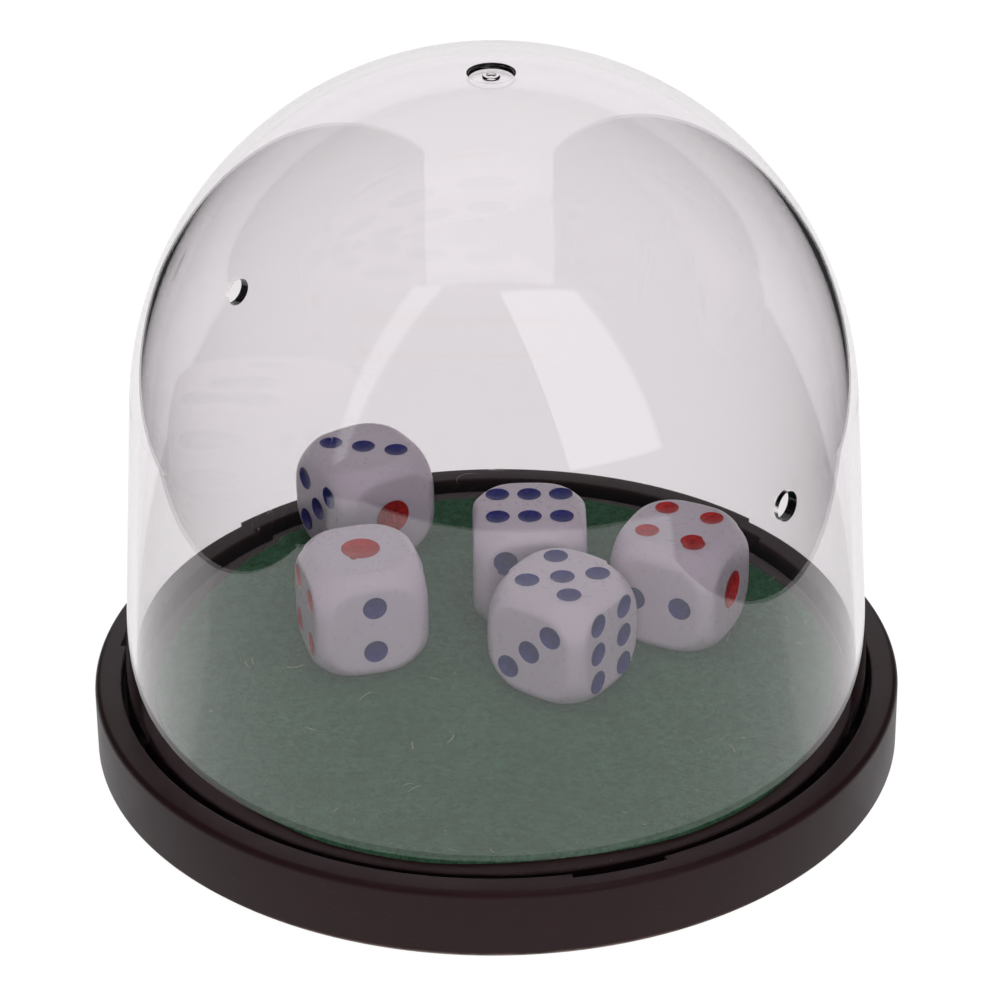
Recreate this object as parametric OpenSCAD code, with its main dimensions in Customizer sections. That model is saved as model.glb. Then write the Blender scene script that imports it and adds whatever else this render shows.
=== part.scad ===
// Dice cup: a clear dome locks over five dice on a felt-topped tray.
// Millimetres, +Z up, origin at the centre of the tray's underside.

/* [Dome] */
// Outside diameter of the dome's straight skirt
dome_d = 89; // [80:0.5:100]
// Height of the dome from its lower edge to its crown
dome_h = 82.4; // [70:0.1:95]
// Thickness of the dome's wall
dome_wall = 1.2; // [1:0.1:2.2]
// Inward slope of the wall above the skirt, in degrees
dome_draft = 3.5; // [2:0.1:6]
// Diameter of the two side holes
vent_d = 3.5; // [2:0.1:6]
// Height of the side holes above the dome's lower edge
vent_h = 42; // [30:0.5:50]
// Direction of the front side hole, in degrees from +X
vent_turn = -40; // [-180:1:180]
// Diameter of the moulding recess in the crown
gate_d = 5.4; // [3:0.1:8]
// Depth of the moulding recess
gate_depth = 0.7; // [0.2:0.1:0.8]
// Diameter of the ring left by the gate
gate_ring_d = 2; // [1.2:0.1:2.8]
// Height of the ring left by the gate
gate_ring_h = 0.35; // [0.1:0.05:0.6]

/* [Bayonet] */
// Number of lugs and notches
lug_count = 3; // [2:1:5]
// Direction of the first lug, in degrees from +X
lug_turn = -72.5; // [-180:0.5:180]
// Width of a lug, in degrees
lug_sweep = 12; // [8:0.5:20]
// How far a lug stands out of the skirt
lug_out = 1; // [0.8:0.1:2]
// Height of a lug
lug_h = 1.8; // [1:0.1:2.5]
// Height of a lug's underside above the dome's lower edge
lug_rise = 0.3; // [0.2:0.1:1]
// Clearance around a lug in its channel
lug_gap = 0.3; // [0.25:0.05:0.6]
// Clearance beyond a lug in its notch
notch_depth_gap = 0.2; // [0.1:0.05:0.25]
// Extra width of a notch on each side of a lug, in degrees
notch_gap = 1; // [0.5:0.25:3]

/* [Tray] */
// Height of the tray to its rim
tray_h = 8.7; // [7:0.1:12]
// Thickness of the tray's wall outside the lug channel
tray_wall = 2.4; // [1.6:0.1:4]
// Thickness of the tray under the groove
groove_floor = 3.7; // [2.5:0.1:4.5]
// Gap between the dome's skirt and the tray's lip
lip_gap = 0.5; // [0.3:0.05:0.7]
// Gap between the dome's skirt and the raised middle
dais_gap = 0.6; // [0.4:0.05:1]
// Thickness of the raised middle's side wall
dais_wall = 2.2; // [1.5:0.1:4]
// Thickness of the raised middle's top
dais_top = 2.2; // [1.5:0.1:3]
// Height of the rim above the raised middle
dais_drop = 0.8; // [0.2:0.1:1.5]
// Radius of the rim's rounded outer edge
rim_round = 0.8; // [0.3:0.1:1.4]
// Chamfer round the foot of the tray
foot_chamfer = 0.5; // [0.2:0.1:1]

/* [Felt] */
// Thickness of the felt
felt_t = 0.7; // [0.4:0.05:2]
// Bare margin of the raised middle round the felt
felt_margin = 1.5; // [0.5:0.1:4]

/* [Dice] */
// Width of a die across two faces
die_size = 14; // [12:0.1:15]
// Radius along the edges of a die
die_edge = 2; // [1:0.1:2.5]
// Length that the ball rounding takes off each corner
die_corner_cut = 2.7; // [2:0.1:3.2]
// Diameter of a small pip
pip_d = 3; // [2:0.1:3.4]
// Depth of a small pip
pip_depth = 0.5; // [0.3:0.05:0.8]
// Diameter of the single large pip
ace_d = 4.8; // [3:0.1:6]
// Depth of the single large pip
ace_depth = 0.75; // [0.4:0.05:1.2]
// Distance of the outer pips from the middle of a face, along each side
pip_reach = 3; // [2.6:0.1:3.4]
// Distance between neighbouring pips in the rows of the six
six_pitch = 3.9; // [3.5:0.1:4.2]
// Half the distance between the rows of the six
six_half = 2.7; // [2.2:0.1:3.2]
// Thickness of the paint in the pips
paint_t = 0.12; // [0.08:0.01:0.2]
// Least gap between the two dice that lie close together
die_gap = 0.3; // [0.2:0.1:2]
// Gap between the back die and the dome's skirt
back_gap = 3.2; // [3:0.1:8]

/* [Places of the dice] */
// Front die, to the right of the centre
front_x = 7.9; // [6:0.1:10]
// Front die, behind the centre, less than 0 in front of it
front_y = -2.8; // [-6:0.1:-2]
// Left die, to the right of the centre, less than 0 to the left
left_x = -16.2; // [-18:0.1:-15]
// Left die, behind the centre
left_y = 3.5; // [1:0.1:5]
// Middle die, to the right of the centre
middle_x = 4.2; // [3:0.1:5]
// Right die, to the right of the centre
right_x = 22.4; // [21:0.1:24]
// Right die, behind the centre
right_y = 8.6; // [7:0.1:10]

/* [Hidden] */
$fn = 96;
// Overshoot of a cutter past the face that it cuts
CUT = 1;
CLEAR = [0.93, 0.9, 0.92, 0.3];
PLUM = [0.13, 0.09, 0.1];
GREEN = [0.08, 0.3, 0.18];
IVORY = [0.93, 0.9, 0.9];
BLUE = [0.1, 0.12, 0.45];
RED = [0.7, 0.08, 0.08];

// Dome: the wall slopes in above the skirt and runs tangent into a ball cap
skirt_r = dome_d / 2;
skirt_in_r = skirt_r - dome_wall;
seat_z = groove_floor;
crown_z = seat_z + dome_h;
skirt_h = tray_h - groove_floor;
slope_run = tan(dome_draft) * (dome_h - skirt_h);
cap_r = cos(dome_draft) * (skirt_r - slope_run) / (1 - sin(dome_draft));
cap_z = crown_z - cap_r;

// Bayonet: a lug drops through its notch and turns along the channel
lug_r = skirt_r + lug_out;
channel_r = lug_r + lug_gap;
channel_z = seat_z + lug_rise + lug_h + lug_gap;
notch_r = lug_r + notch_depth_gap;
notch_sweep = lug_sweep + 2 * notch_gap;

// Tray, from the dome outwards and inwards
lip_r = skirt_r + lip_gap;
tray_r = channel_r + tray_wall;
dais_r = skirt_in_r - dais_gap;
hollow_r = dais_r - dais_wall;
dais_z = tray_h - dais_drop;
hollow_h = dais_z - dais_top;
felt_r = dais_r - felt_margin;
felt_z = dais_z + felt_t;

// Dice: the turn that brings each value to the top, and the turn from the
// top to the face of each value, for values 1 to 6
TO_TOP = [[0, -90, 0], [90, 0, 0], [0, 0, 0], [180, 0, 0], [-90, 0, 0], [0, 90, 0]];
TO_FACE = [[0, 90, 0], [-90, 0, 0], [0, 0, 0], [180, 0, 0], [90, 0, 0], [0, -90, 0]];
BLUE_VALUES = [2, 3, 5, 6];
RED_VALUES = [1, 4];
die_ball_r = die_size * sqrt(3) / 2 - die_corner_cut;
die_corner_reach = die_size / sqrt(2) - die_edge * (sqrt(2) - 1);
back_reach = skirt_in_r - die_size / 2 - back_gap;
back_turn = 120;

// Place of each die on the felt: x, y, value on top, turn about +Z
FRONT = [front_x, front_y, 5, 144.4];
LEFT = [left_x, left_y, 1, 195.7];
BACK = [back_reach * cos(back_turn), back_reach * sin(back_turn), 3, -58];
MIDDLE = [middle_x, front_y + die_corner_reach + die_size / 2 + die_gap, 6, -89.7];
RIGHT = [right_x, right_y, 4, -26.3];

// Corners of a square pattern of pips
function pip_square(reach) = [for (u = [-reach, reach], v = [-reach, reach]) [u, v]];

// Places of the pips of one value, from the middle of its face
function pip_places(value) =
    value == 1 ? [[0, 0]] :
    value == 2 ? [[-pip_reach, 0], [pip_reach, 0]] :
    value == 3 ? [for (k = [-1, 0, 1]) [k * pip_reach, k * pip_reach]] :
    value == 4 ? pip_square(pip_reach) :
    value == 5 ? concat([[0, 0]], pip_square(pip_reach)) :
    [for (u = [-six_half, six_half], k = [-1, 0, 1]) [u, k * six_pitch]];

// Radius of the ball that cuts a dish of the given diameter and depth
function dish_r(d, depth) = (d * d / 4 + depth * depth) / (2 * depth);

// Body of revolution with the dome's outline, moved inwards by a wall
module dome_form(inset, base_z) {
    ball = cap_r - inset;
    top_z = cap_z + ball * sin(dome_draft);
    bend_r = skirt_r - inset;
    bend_z = tray_h - (inset - inset * cos(dome_draft)) / sin(dome_draft);
    rotate_extrude() {
        polygon([
            [0, base_z],
            [bend_r, base_z],
            [bend_r, bend_z],
            [ball * cos(dome_draft), top_z],
            [0, top_z]
        ]);
        intersection() {
            translate([0, cap_z]) circle(r = ball);
            translate([0, top_z]) square([ball, ball]);
        }
    }
}

// Ring sector between two radii, centred on a direction
module sector(inner_r, outer_r, bottom_z, top_z, sweep) {
    rotate([0, 0, -sweep / 2])
        rotate_extrude(angle = sweep)
            translate([inner_r, bottom_z])
                square([outer_r - inner_r, top_z - bottom_z]);
}

module each_lug() {
    for (k = [0 : lug_count - 1])
        rotate([0, 0, lug_turn + k * 360 / lug_count]) children();
}

module base_tray() {
    color(PLUM) difference() {
        rotate_extrude() difference() {
            union() {
                polygon([
                    [0, 0],
                    [tray_r - foot_chamfer, 0],
                    [tray_r, foot_chamfer],
                    [tray_r, tray_h - rim_round],
                    [tray_r - rim_round, tray_h - rim_round],
                    [tray_r - rim_round, tray_h],
                    [0, tray_h]
                ]);
                intersection() {
                    translate([tray_r - rim_round, tray_h - rim_round]) circle(r = rim_round);
                    translate([tray_r - rim_round, tray_h - rim_round]) square(rim_round);
                }
            }
            // Step down from the rim to the raised middle
            translate([0, dais_z]) square([skirt_r, tray_h]);
            // Groove for the skirt
            translate([dais_r, groove_floor]) square([lip_r - dais_r, tray_h]);
            // Channel under the lip
            translate([dais_r, groove_floor])
                square([channel_r - dais_r, channel_z - groove_floor]);
            // Hollow underside
            translate([0, -CUT]) square([hollow_r, hollow_h + CUT]);
        }
        each_lug() sector(lip_r - lip_gap, notch_r, channel_z - lug_gap, tray_h + CUT, notch_sweep);
    }
}

module felt_disc() {
    color(GREEN) translate([0, 0, dais_z]) cylinder(r = felt_r, h = felt_t);
}

module dome() {
    color(CLEAR) difference() {
        union() {
            dome_form(0, seat_z);
            each_lug() sector(skirt_in_r + dome_wall / 2, lug_r,
                seat_z + lug_rise, seat_z + lug_rise + lug_h, lug_sweep);
        }
        dome_form(dome_wall, seat_z - CUT);
        translate([0, 0, crown_z - gate_depth]) difference() {
            cylinder(d = gate_d, h = gate_depth + CUT);
            difference() {
                cylinder(d = gate_ring_d, h = gate_ring_h);
                cylinder(d = gate_ring_d / 2, h = gate_ring_h + CUT);
            }
        }
        rotate([0, 0, vent_turn]) translate([0, 0, seat_z + vent_h]) rotate([0, 90, 0])
            cylinder(d = vent_d, h = dome_d, center = true);
    }
}

// Square with round corners, for the outline of a die
module soft_square() {
    flat = die_size - 2 * die_edge;
    square([die_size, flat], center = true);
    square([flat, die_size], center = true);
    for (u = [-1, 1], v = [-1, 1]) translate([u, v] * flat / 2) circle(r = die_edge);
}

module die_blank() {
    intersection() {
        intersection_for (turn = [[0, 0, 0], [90, 0, 0], [0, 90, 0]])
            rotate(turn) linear_extrude(die_size, center = true) soft_square();
        sphere(r = die_ball_r);
    }
}

// Repeats its child at each pip of the given values, with the pip's own size
module at_pips(values) {
    for (value = values) rotate(TO_FACE[value - 1])
        for (place = pip_places(value)) translate([place.x, place.y, die_size / 2]) {
            $dish_d = value == 1 ? ace_d : pip_d;
            $dish_depth = value == 1 ? ace_depth : pip_depth;
            children();
        }
}

module dish(lift = 0) {
    ball = dish_r($dish_d, $dish_depth);
    translate([0, 0, ball - $dish_depth + lift]) sphere(r = ball);
}

module place_die(place) {
    translate([place[0], place[1], felt_z + die_size / 2])
        rotate([0, 0, place[3]]) rotate(TO_TOP[place[2] - 1]) children();
}

module die(place) {
    color(IVORY) place_die(place) difference() {
        die_blank();
        at_pips(concat(RED_VALUES, BLUE_VALUES)) dish();
    }
}

module pip_paint(place, values) {
    place_die(place) at_pips(values) difference() {
        intersection() {
            dish();
            translate([0, 0, -$dish_depth]) cylinder(d = $dish_d, h = $dish_depth);
        }
        dish(paint_t);
    }
}

module die_front() { die(FRONT); }
module die_front_blue_pips() { color(BLUE) pip_paint(FRONT, BLUE_VALUES); }
module die_front_red_pips() { color(RED) pip_paint(FRONT, RED_VALUES); }
module die_left() { die(LEFT); }
module die_left_blue_pips() { color(BLUE) pip_paint(LEFT, BLUE_VALUES); }
module die_left_red_pips() { color(RED) pip_paint(LEFT, RED_VALUES); }
module die_back() { die(BACK); }
module die_back_blue_pips() { color(BLUE) pip_paint(BACK, BLUE_VALUES); }
module die_back_red_pips() { color(RED) pip_paint(BACK, RED_VALUES); }
module die_middle() { die(MIDDLE); }
module die_middle_blue_pips() { color(BLUE) pip_paint(MIDDLE, BLUE_VALUES); }
module die_middle_red_pips() { color(RED) pip_paint(MIDDLE, RED_VALUES); }
module die_right() { die(RIGHT); }
module die_right_blue_pips() { color(BLUE) pip_paint(RIGHT, BLUE_VALUES); }
module die_right_red_pips() { color(RED) pip_paint(RIGHT, RED_VALUES); }

base_tray();
felt_disc();
dome();
die_front();
die_front_blue_pips();
die_front_red_pips();
die_left();
die_left_blue_pips();
die_left_red_pips();
die_back();
die_back_blue_pips();
die_back_red_pips();
die_middle();
die_middle_blue_pips();
die_middle_red_pips();
die_right();
die_right_blue_pips();
die_right_red_pips();
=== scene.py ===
"""Dice cup: a clear dome over five loose dice on a felt-topped tray, dressed around its CAD frame."""

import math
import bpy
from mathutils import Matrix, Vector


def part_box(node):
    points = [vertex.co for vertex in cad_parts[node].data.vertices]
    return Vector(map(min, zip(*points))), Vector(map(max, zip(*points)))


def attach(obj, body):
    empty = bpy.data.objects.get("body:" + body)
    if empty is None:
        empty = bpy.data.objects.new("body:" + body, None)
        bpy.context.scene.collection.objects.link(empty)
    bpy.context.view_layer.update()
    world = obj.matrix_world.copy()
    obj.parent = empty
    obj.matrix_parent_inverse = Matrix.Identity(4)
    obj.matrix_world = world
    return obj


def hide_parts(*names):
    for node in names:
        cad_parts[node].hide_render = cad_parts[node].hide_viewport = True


bl_info = {
    "name": "Dice Cup",
    "version": (1, 0, 0),
    "blender": (4, 5, 0),
    "location": "View3D > Sidebar > Dice Cup",
    "description": "Builds a clear dice cup with its tray, felt, dome and five dice",
    "category": "Add Mesh",
}

import bpy
import numpy as np
from bpy.props import BoolProperty, FloatProperty, FloatVectorProperty, IntProperty, PointerProperty
from mathutils import Matrix, Vector

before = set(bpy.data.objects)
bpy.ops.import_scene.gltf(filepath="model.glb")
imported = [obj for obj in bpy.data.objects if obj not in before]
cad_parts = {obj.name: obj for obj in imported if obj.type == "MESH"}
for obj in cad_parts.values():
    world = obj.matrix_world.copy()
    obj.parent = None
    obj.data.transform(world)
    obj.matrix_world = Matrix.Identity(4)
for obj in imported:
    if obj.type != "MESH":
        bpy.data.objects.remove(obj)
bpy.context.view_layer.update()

MM = 0.001
DICE = ("front", "left", "back", "middle", "right")

# Direction of the first of the three lugs from +X
LUG_TURN = math.radians(-72.5)

# Value on top and turn about +Z of each die, in degrees
TOP_AND_TURN = {
    "front": (5, 144.4),
    "left": (1, 195.7),
    "back": (3, -58.0),
    "middle": (6, -89.7),
    "right": (4, -26.3),
}

# Turns that bring each value to the top, and from the top to the face of each value
TO_TOP = {1: (0, -90), 2: (90, 0), 3: (0, 0), 4: (180, 0), 5: (-90, 0), 6: (0, 90)}
TO_FACE = {1: (0, 90), 2: (-90, 0), 3: (0, 0), 4: (180, 0), 5: (90, 0), 6: (0, -90)}
BLUE_VALUES = (2, 3, 5, 6)
RED_VALUES = (1, 4)


def length(name, text, value):
    """A size in metres that the panel shows, given here in millimetres."""
    return FloatProperty(name=name, description=text, default=value * MM, unit="LENGTH", precision=5)


def colour(name, text, value):
    return FloatVectorProperty(
        name=name, description=text, default=value, subtype="COLOR", size=3, min=0, max=1
    )


def angle(name, text, degrees):
    return FloatProperty(name=name, description=text, default=math.radians(degrees), subtype="ANGLE")


class DomeLook(bpy.types.PropertyGroup):
    """Sizes and plastic of the dome."""

    skirt_radius: length("Skirt radius", "Outside radius of the straight skirt", 44.5)
    height: length("Height", "From the lower edge to the crown", 82.4)
    wall: length("Wall", "Thickness of the wall", 1.2)
    draft: angle("Draft", "Inward slope of the wall above the skirt", 3.5)
    vent_diameter: length("Side hole", "Diameter of the two side holes", 3.5)
    vent_height: length("Side hole height", "Height of the side holes above the lower edge", 42)
    vent_turn: angle("Side hole direction", "Direction of the front side hole from +X", -40)
    gate_radius: length("Crown recess", "Radius of the moulding recess", 2.7)
    gate_depth: length("Crown recess depth", "Depth of the moulding recess", 0.7)
    lug_out: length("Lug reach", "How far a lug stands out of the skirt", 1)
    tint: colour("Tint", "Colour of the clear plastic", (0.968, 0.949, 0.958))
    depth: FloatProperty(name="Depth", description="How much the plastic dims light along it", default=35, min=0)
    index: FloatProperty(name="Index", description="Refractive index", default=1.59, min=1.3, max=1.8)


class TrayLook(bpy.types.PropertyGroup):
    """Sizes and plastic of the tray."""

    groove_radius: length("Groove radius", "Outside radius of the raised middle", 42.7)
    lip_radius: length("Lip radius", "Inside radius of the rim", 45)
    channel_radius: length("Channel radius", "Radius of the lug channel under the rim", 45.8)
    groove_floor: length("Groove floor", "Height of the groove's floor", 3.7)
    hollow_radius: length("Hollow radius", "Radius of the hollow underside", 40.5)
    plastic: colour("Plastic", "Colour of the tray", (0.018, 0.0060, 0.0070))


class FeltLook(bpy.types.PropertyGroup):
    """Size and colour of the felt."""

    radius: length("Radius", "Radius of the disc", 41.2)
    green: colour("Green", "Main colour of the felt", (0.044, 0.124, 0.067))
    lint: IntProperty(name="Lint", description="Number of loose fibres", default=420, min=0)


class DiceLook(bpy.types.PropertyGroup):
    """Sizes and colours of the dice."""

    width: length("Width", "Across two faces", 14)
    edge: length("Edge radius", "Rounding along the edges", 2)
    corner: length("Corner cut", "How much the ball rounding takes off each corner", 2.7)
    pip: length("Pip", "Diameter of a small pip", 3)
    pip_depth: length("Pip depth", "Depth of a small pip", 0.5)
    ace: length("Single pip", "Diameter of the single large pip", 4.8)
    ace_depth: length("Single pip depth", "Depth of the single large pip", 0.75)
    ivory: colour("Body", "Colour of the dice", (0.54, 0.48, 0.555))
    blue: colour("Blue", "Colour of the blue pips", (0.014, 0.015, 0.14))
    red: colour("Red", "Colour of the red pips", (0.40, 0.010, 0.012))


class StudioLook(bpy.types.PropertyGroup):
    """Light round the object."""

    key: FloatProperty(name="Key", description="Power of the low front lamp in watts", default=2.05, min=0)
    side: FloatProperty(name="Side", description="Power of the high right lamp in watts", default=0.5, min=0)
    top: FloatProperty(name="Top", description="Power of the overhead lamp in watts", default=0.47, min=0)
    ambient: FloatProperty(name="Ambient", description="Even light from all round", default=0.36, min=0)
    dark: FloatProperty(name="Dark", description="What the gloss shows where no panel is", default=0.03, min=0)


class Link:
    """A node's output. As a number it takes part in sums, and each operator adds its Math node."""

    def __init__(self, tree, socket):
        self.tree = tree
        self.socket = socket

    def math(self, operation, *values):
        sockets = dict(enumerate(values))
        return Build(self.tree).add("ShaderNodeMath", {"operation": operation}, sockets)

    def __add__(self, other):
        return self.math("ADD", self, other)

    def __radd__(self, other):
        return self.math("ADD", other, self)

    def __sub__(self, other):
        return self.math("SUBTRACT", self, other)

    def __rsub__(self, other):
        return self.math("SUBTRACT", other, self)

    def __mul__(self, other):
        return self.math("MULTIPLY", self, other)

    def __rmul__(self, other):
        return self.math("MULTIPLY", other, self)

    def __truediv__(self, other):
        return self.math("DIVIDE", self, other)

    def __rtruediv__(self, other):
        return self.math("DIVIDE", other, self)

    def above(self, other):
        return self.math("GREATER_THAN", self, other)

    def size(self):
        return self.math("ABSOLUTE", self)

    def floor(self):
        return self.math("FLOOR", self)

    def clamped(self):
        return self.math("MINIMUM", self.math("MAXIMUM", self, 0.0), 1.0)

    def sin(self):
        return self.math("SINE", self)

    def cos(self):
        return self.math("COSINE", self)

    def between(self, low, high):
        """0 below low, 1 above high, and a straight ramp between them."""
        return ((self - low) * (1.0 / (high - low))).clamped()


class Build:
    """Adds nodes to one tree."""

    def __init__(self, tree):
        self.tree = tree

    def add(self, kind, settings=None, sockets=None, output=0):
        """A node of that type. Its settings come first, then the values or links of its sockets."""
        node = self.tree.nodes.new(kind)
        for name, value in (settings or {}).items():
            if name == "stops":
                self.stops(node.color_ramp, value)
            else:
                setattr(node, name, value)
        for name, value in (sockets or {}).items():
            if isinstance(value, Link):
                self.tree.links.new(value.socket, node.inputs[name])
            elif value is not None:
                node.inputs[name].default_value = value
        return Link(self.tree, node.outputs[output]) if len(node.outputs) else node

    def stops(self, ramp, stops):
        while len(ramp.elements) < len(stops):
            ramp.elements.new(0.5)
        for element, (place, value) in zip(ramp.elements, stops):
            element.position = place
            element.color = (*value, 1) if len(value) == 3 else value

    def mix(self, factor, a, b):
        """Colour a where the factor is 0, b where it is 1."""
        colours = [(*c, 1) if isinstance(c, (tuple, list)) else c for c in (a, b)]
        return self.add(
            "ShaderNodeMix", {"data_type": "RGBA"}, {0: factor, 6: colours[0], 7: colours[1]}, 2
        )

    def other(self, link, output):
        """Another output of the node that a link comes from."""
        return Link(self.tree, link.socket.node.outputs[output])


class Finish(Build):
    """A material under construction, with patterns in the object's own coordinates."""

    def __init__(self, name):
        self.material = bpy.data.materials.new(name)
        self.material.use_nodes = True
        super().__init__(self.material.node_tree)
        self.tree.nodes.clear()
        self.place = self.add("ShaderNodeTexCoord", output="Object")

    def stretched(self, x, y, z):
        """The object's coordinates with each axis scaled."""
        return self.add("ShaderNodeMapping", {"vector_type": "POINT"}, {"Vector": self.place, "Scale": (x, y, z)})

    def noise(self, size, detail=3.0, rough=0.55, place=None):
        """Noise from 0 to 1, with features of about that size in metres."""
        sockets = {"Vector": place or self.place, "Scale": 1 / size, "Detail": detail, "Roughness": rough}
        return self.add("ShaderNodeTexNoise", {}, sockets, "Fac")

    def cells(self, size, output="Distance"):
        return self.add("ShaderNodeTexVoronoi", {}, {"Vector": self.place, "Scale": 1 / size}, output)

    def bump(self, height, depth, strength=1.0, under=None):
        sockets = {"Height": height, "Distance": depth, "Strength": strength, "Normal": under}
        return self.add("ShaderNodeBump", {}, sockets)

    def surface(self, sockets):
        return self.add("ShaderNodeBsdfPrincipled", {}, sockets)

    def done(self, shader, volume=None):
        self.add("ShaderNodeOutputMaterial", {}, {"Surface": shader, "Volume": volume})
        return self.material


class Tree(Build):
    """A Geometry Nodes group with named inputs, ending in Realize Instances and Set Material."""

    KINDS = {float: "NodeSocketFloat", int: "NodeSocketInt"}

    def __init__(self, name, **inputs):
        super().__init__(bpy.data.node_groups.new(name, "GeometryNodeTree"))
        face = self.tree.interface
        face.new_socket(name="Geometry", in_out="INPUT", socket_type="NodeSocketGeometry")
        self.values = {}
        for key, value in inputs.items():
            label = key.replace("_", " ").capitalize()
            kind = self.KINDS.get(type(value), "NodeSocketObject")
            socket = face.new_socket(name=label, in_out="INPUT", socket_type=kind)
            self.values[socket.identifier] = value
        socket = face.new_socket(name="Material", in_out="INPUT", socket_type="NodeSocketMaterial")
        self.material_key = socket.identifier
        face.new_socket(name="Geometry", in_out="OUTPUT", socket_type="NodeSocketGeometry")
        self.group = self.tree.nodes.new("NodeGroupInput")
        self.inputs = {
            key: Link(self.tree, self.group.outputs[key.replace("_", " ").capitalize()]) for key in inputs
        }
        self.geometry = Link(self.tree, self.group.outputs["Geometry"])

    def finish(self, geometry):
        real = self.add("GeometryNodeRealizeInstances", {}, {"Geometry": geometry})
        material = Link(self.tree, self.group.outputs["Material"])
        coated = self.add("GeometryNodeSetMaterial", {}, {"Geometry": real, "Material": material})
        end = self.tree.nodes.new("NodeGroupOutput")
        self.tree.links.new(coated.socket, end.inputs[0])

    def apply(self, ob, material):
        """Runs the tree on the object and keeps the result as its plain mesh."""
        modifier = ob.modifiers.new(self.tree.name, "NODES")
        modifier.node_group = self.tree
        for key, value in self.values.items():
            modifier[key] = value
        modifier[self.material_key] = material
        seen = ob.evaluated_get(bpy.context.evaluated_depsgraph_get())
        mesh = bpy.data.meshes.new_from_object(seen)
        ob.modifiers.clear()
        old = ob.data
        ob.data = mesh
        mesh.name = ob.name
        bpy.data.meshes.remove(old)
        if len(mesh.materials) == 0:
            mesh.materials.append(material)
        return ob


def new_object(name, points, faces=()):
    mesh = bpy.data.meshes.new(name)
    mesh.from_pydata([tuple(p) for p in points], [], [tuple(f) for f in faces])
    ob = bpy.data.objects.new(name, mesh)
    bpy.context.scene.collection.objects.link(ob)
    return ob


def lathe_tree(**bay):
    """Turns a profile round +Z. Its rows marked "stop" move out within each bay, which makes lugs or notches."""
    tree = Tree("Turned ring", **bay)
    v = tree.inputs
    rows = tree.add(
        "GeometryNodeAttributeDomainSize", {"component": "MESH"}, {"Geometry": tree.geometry}, "Point Count"
    )
    columns = v["bays"] * v["columns"] + 1
    grid = tree.add("GeometryNodeMeshGrid", {}, {"Vertices X": columns, "Vertices Y": rows}, "Mesh")
    index = tree.add("GeometryNodeInputIndex")
    column = ((index + 0.5) / rows).floor()
    row = index - column * rows + 0.25
    profile = {"Geometry": tree.geometry, "Index": row}
    place = tree.add(
        "GeometryNodeSampleIndex",
        {"data_type": "FLOAT_VECTOR"},
        {**profile, "Value": tree.add("GeometryNodeInputPosition")},
    )
    mark = tree.add("GeometryNodeInputNamedAttribute", {"data_type": "FLOAT"}, {"Name": "stop"})
    stop = tree.add("GeometryNodeSampleIndex", {"data_type": "FLOAT"}, {**profile, "Value": mark})
    bay_index = ((column + 0.5) / v["columns"]).floor()
    step = column - bay_index * v["columns"]
    inside = step.above(0.5) * (1 - step.above(v["bay_columns"] + 0.5))
    across = ((step - 1) / (v["bay_columns"] - 1)).clamped()
    beyond = ((step - v["bay_columns"] - 1) / (v["columns"] - v["bay_columns"] - 1)).clamped()
    period = math.tau / v["bays"]
    turn = bay_index * period + across * v["sweep"] + beyond * (period - v["sweep"])
    turn = turn + v["first"] - v["sweep"] * 0.5
    parts = tree.add("ShaderNodeSeparateXYZ", {}, {0: place}, "X")
    radius = parts + inside * stop * v["depth"]
    sockets = {"X": radius * turn.cos(), "Y": radius * turn.sin(), "Z": tree.other(parts, "Z")}
    where = tree.add("ShaderNodeCombineXYZ", {}, sockets)
    moved = tree.add("GeometryNodeSetPosition", {}, {"Geometry": grid, "Position": where})
    tree.finish(tree.add("GeometryNodeMergeByDistance", {}, {"Geometry": moved, "Distance": 2e-6}))
    return tree


def drill_tree(**hole):
    """Drills one round hole straight through, across the axis."""
    tree = Tree("Side holes", **hole)
    v = tree.inputs
    rod = tree.add(
        "GeometryNodeMeshCylinder",
        {"fill_type": "NGON"},
        {"Vertices": 72, "Radius": v["diameter"] * 0.5, "Depth": v["reach"]},
        "Mesh",
    )
    spin = tree.add("ShaderNodeCombineXYZ", {}, {"X": 0.0, "Y": math.pi / 2, "Z": v["turn"]})
    lift = tree.add("ShaderNodeCombineXYZ", {}, {"Z": v["height"]})
    placed = tree.add("GeometryNodeTransform", {}, {"Geometry": rod, "Translation": lift, "Rotation": spin})
    cut = tree.add(
        "GeometryNodeMeshBoolean",
        {"operation": "DIFFERENCE", "solver": "EXACT"},
        {"Mesh 1": tree.geometry, "Mesh 2": placed},
        "Mesh",
    )
    tree.finish(cut)
    return tree


def round_off(centre, radius, start, end, steps=5):
    """Points of an arc in the profile's plane, from one angle to another in degrees."""
    turns = np.radians(np.linspace(start, end, steps + 1))
    return [(centre[0] + radius * math.cos(t), centre[1] + radius * math.sin(t)) for t in turns]


def turned(name, rows, tree, material):
    """A piece turned from rows of (radius, height) or (radius, height, stop)."""
    ob = new_object(name, [(r[0], 0, r[1]) for r in rows])
    stop = ob.data.attributes.new("stop", "FLOAT", "POINT")
    stop.data.foreach_set("value", [float(len(r) > 2 and r[2]) for r in rows])
    tree.apply(ob, material)
    face_out(ob.data)
    return ob


def face_out(mesh):
    """Turns every face outwards if the closed mesh has them all inwards."""
    mesh.calc_loop_triangles()
    points = np.array([v.co for v in mesh.vertices])
    corners = np.array([t.vertices[:] for t in mesh.loop_triangles])
    a, b, c = (points[corners[:, k]] for k in range(3))
    if np.einsum("ij,ij->i", a, np.cross(b, c)).sum() < 0:
        mesh.flip_normals()


def smooth(mesh, sharp_degrees=30):
    mesh.polygons.foreach_set("use_smooth", [True] * len(mesh.polygons))
    mesh.set_sharp_from_angle(angle=math.radians(sharp_degrees))


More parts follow.
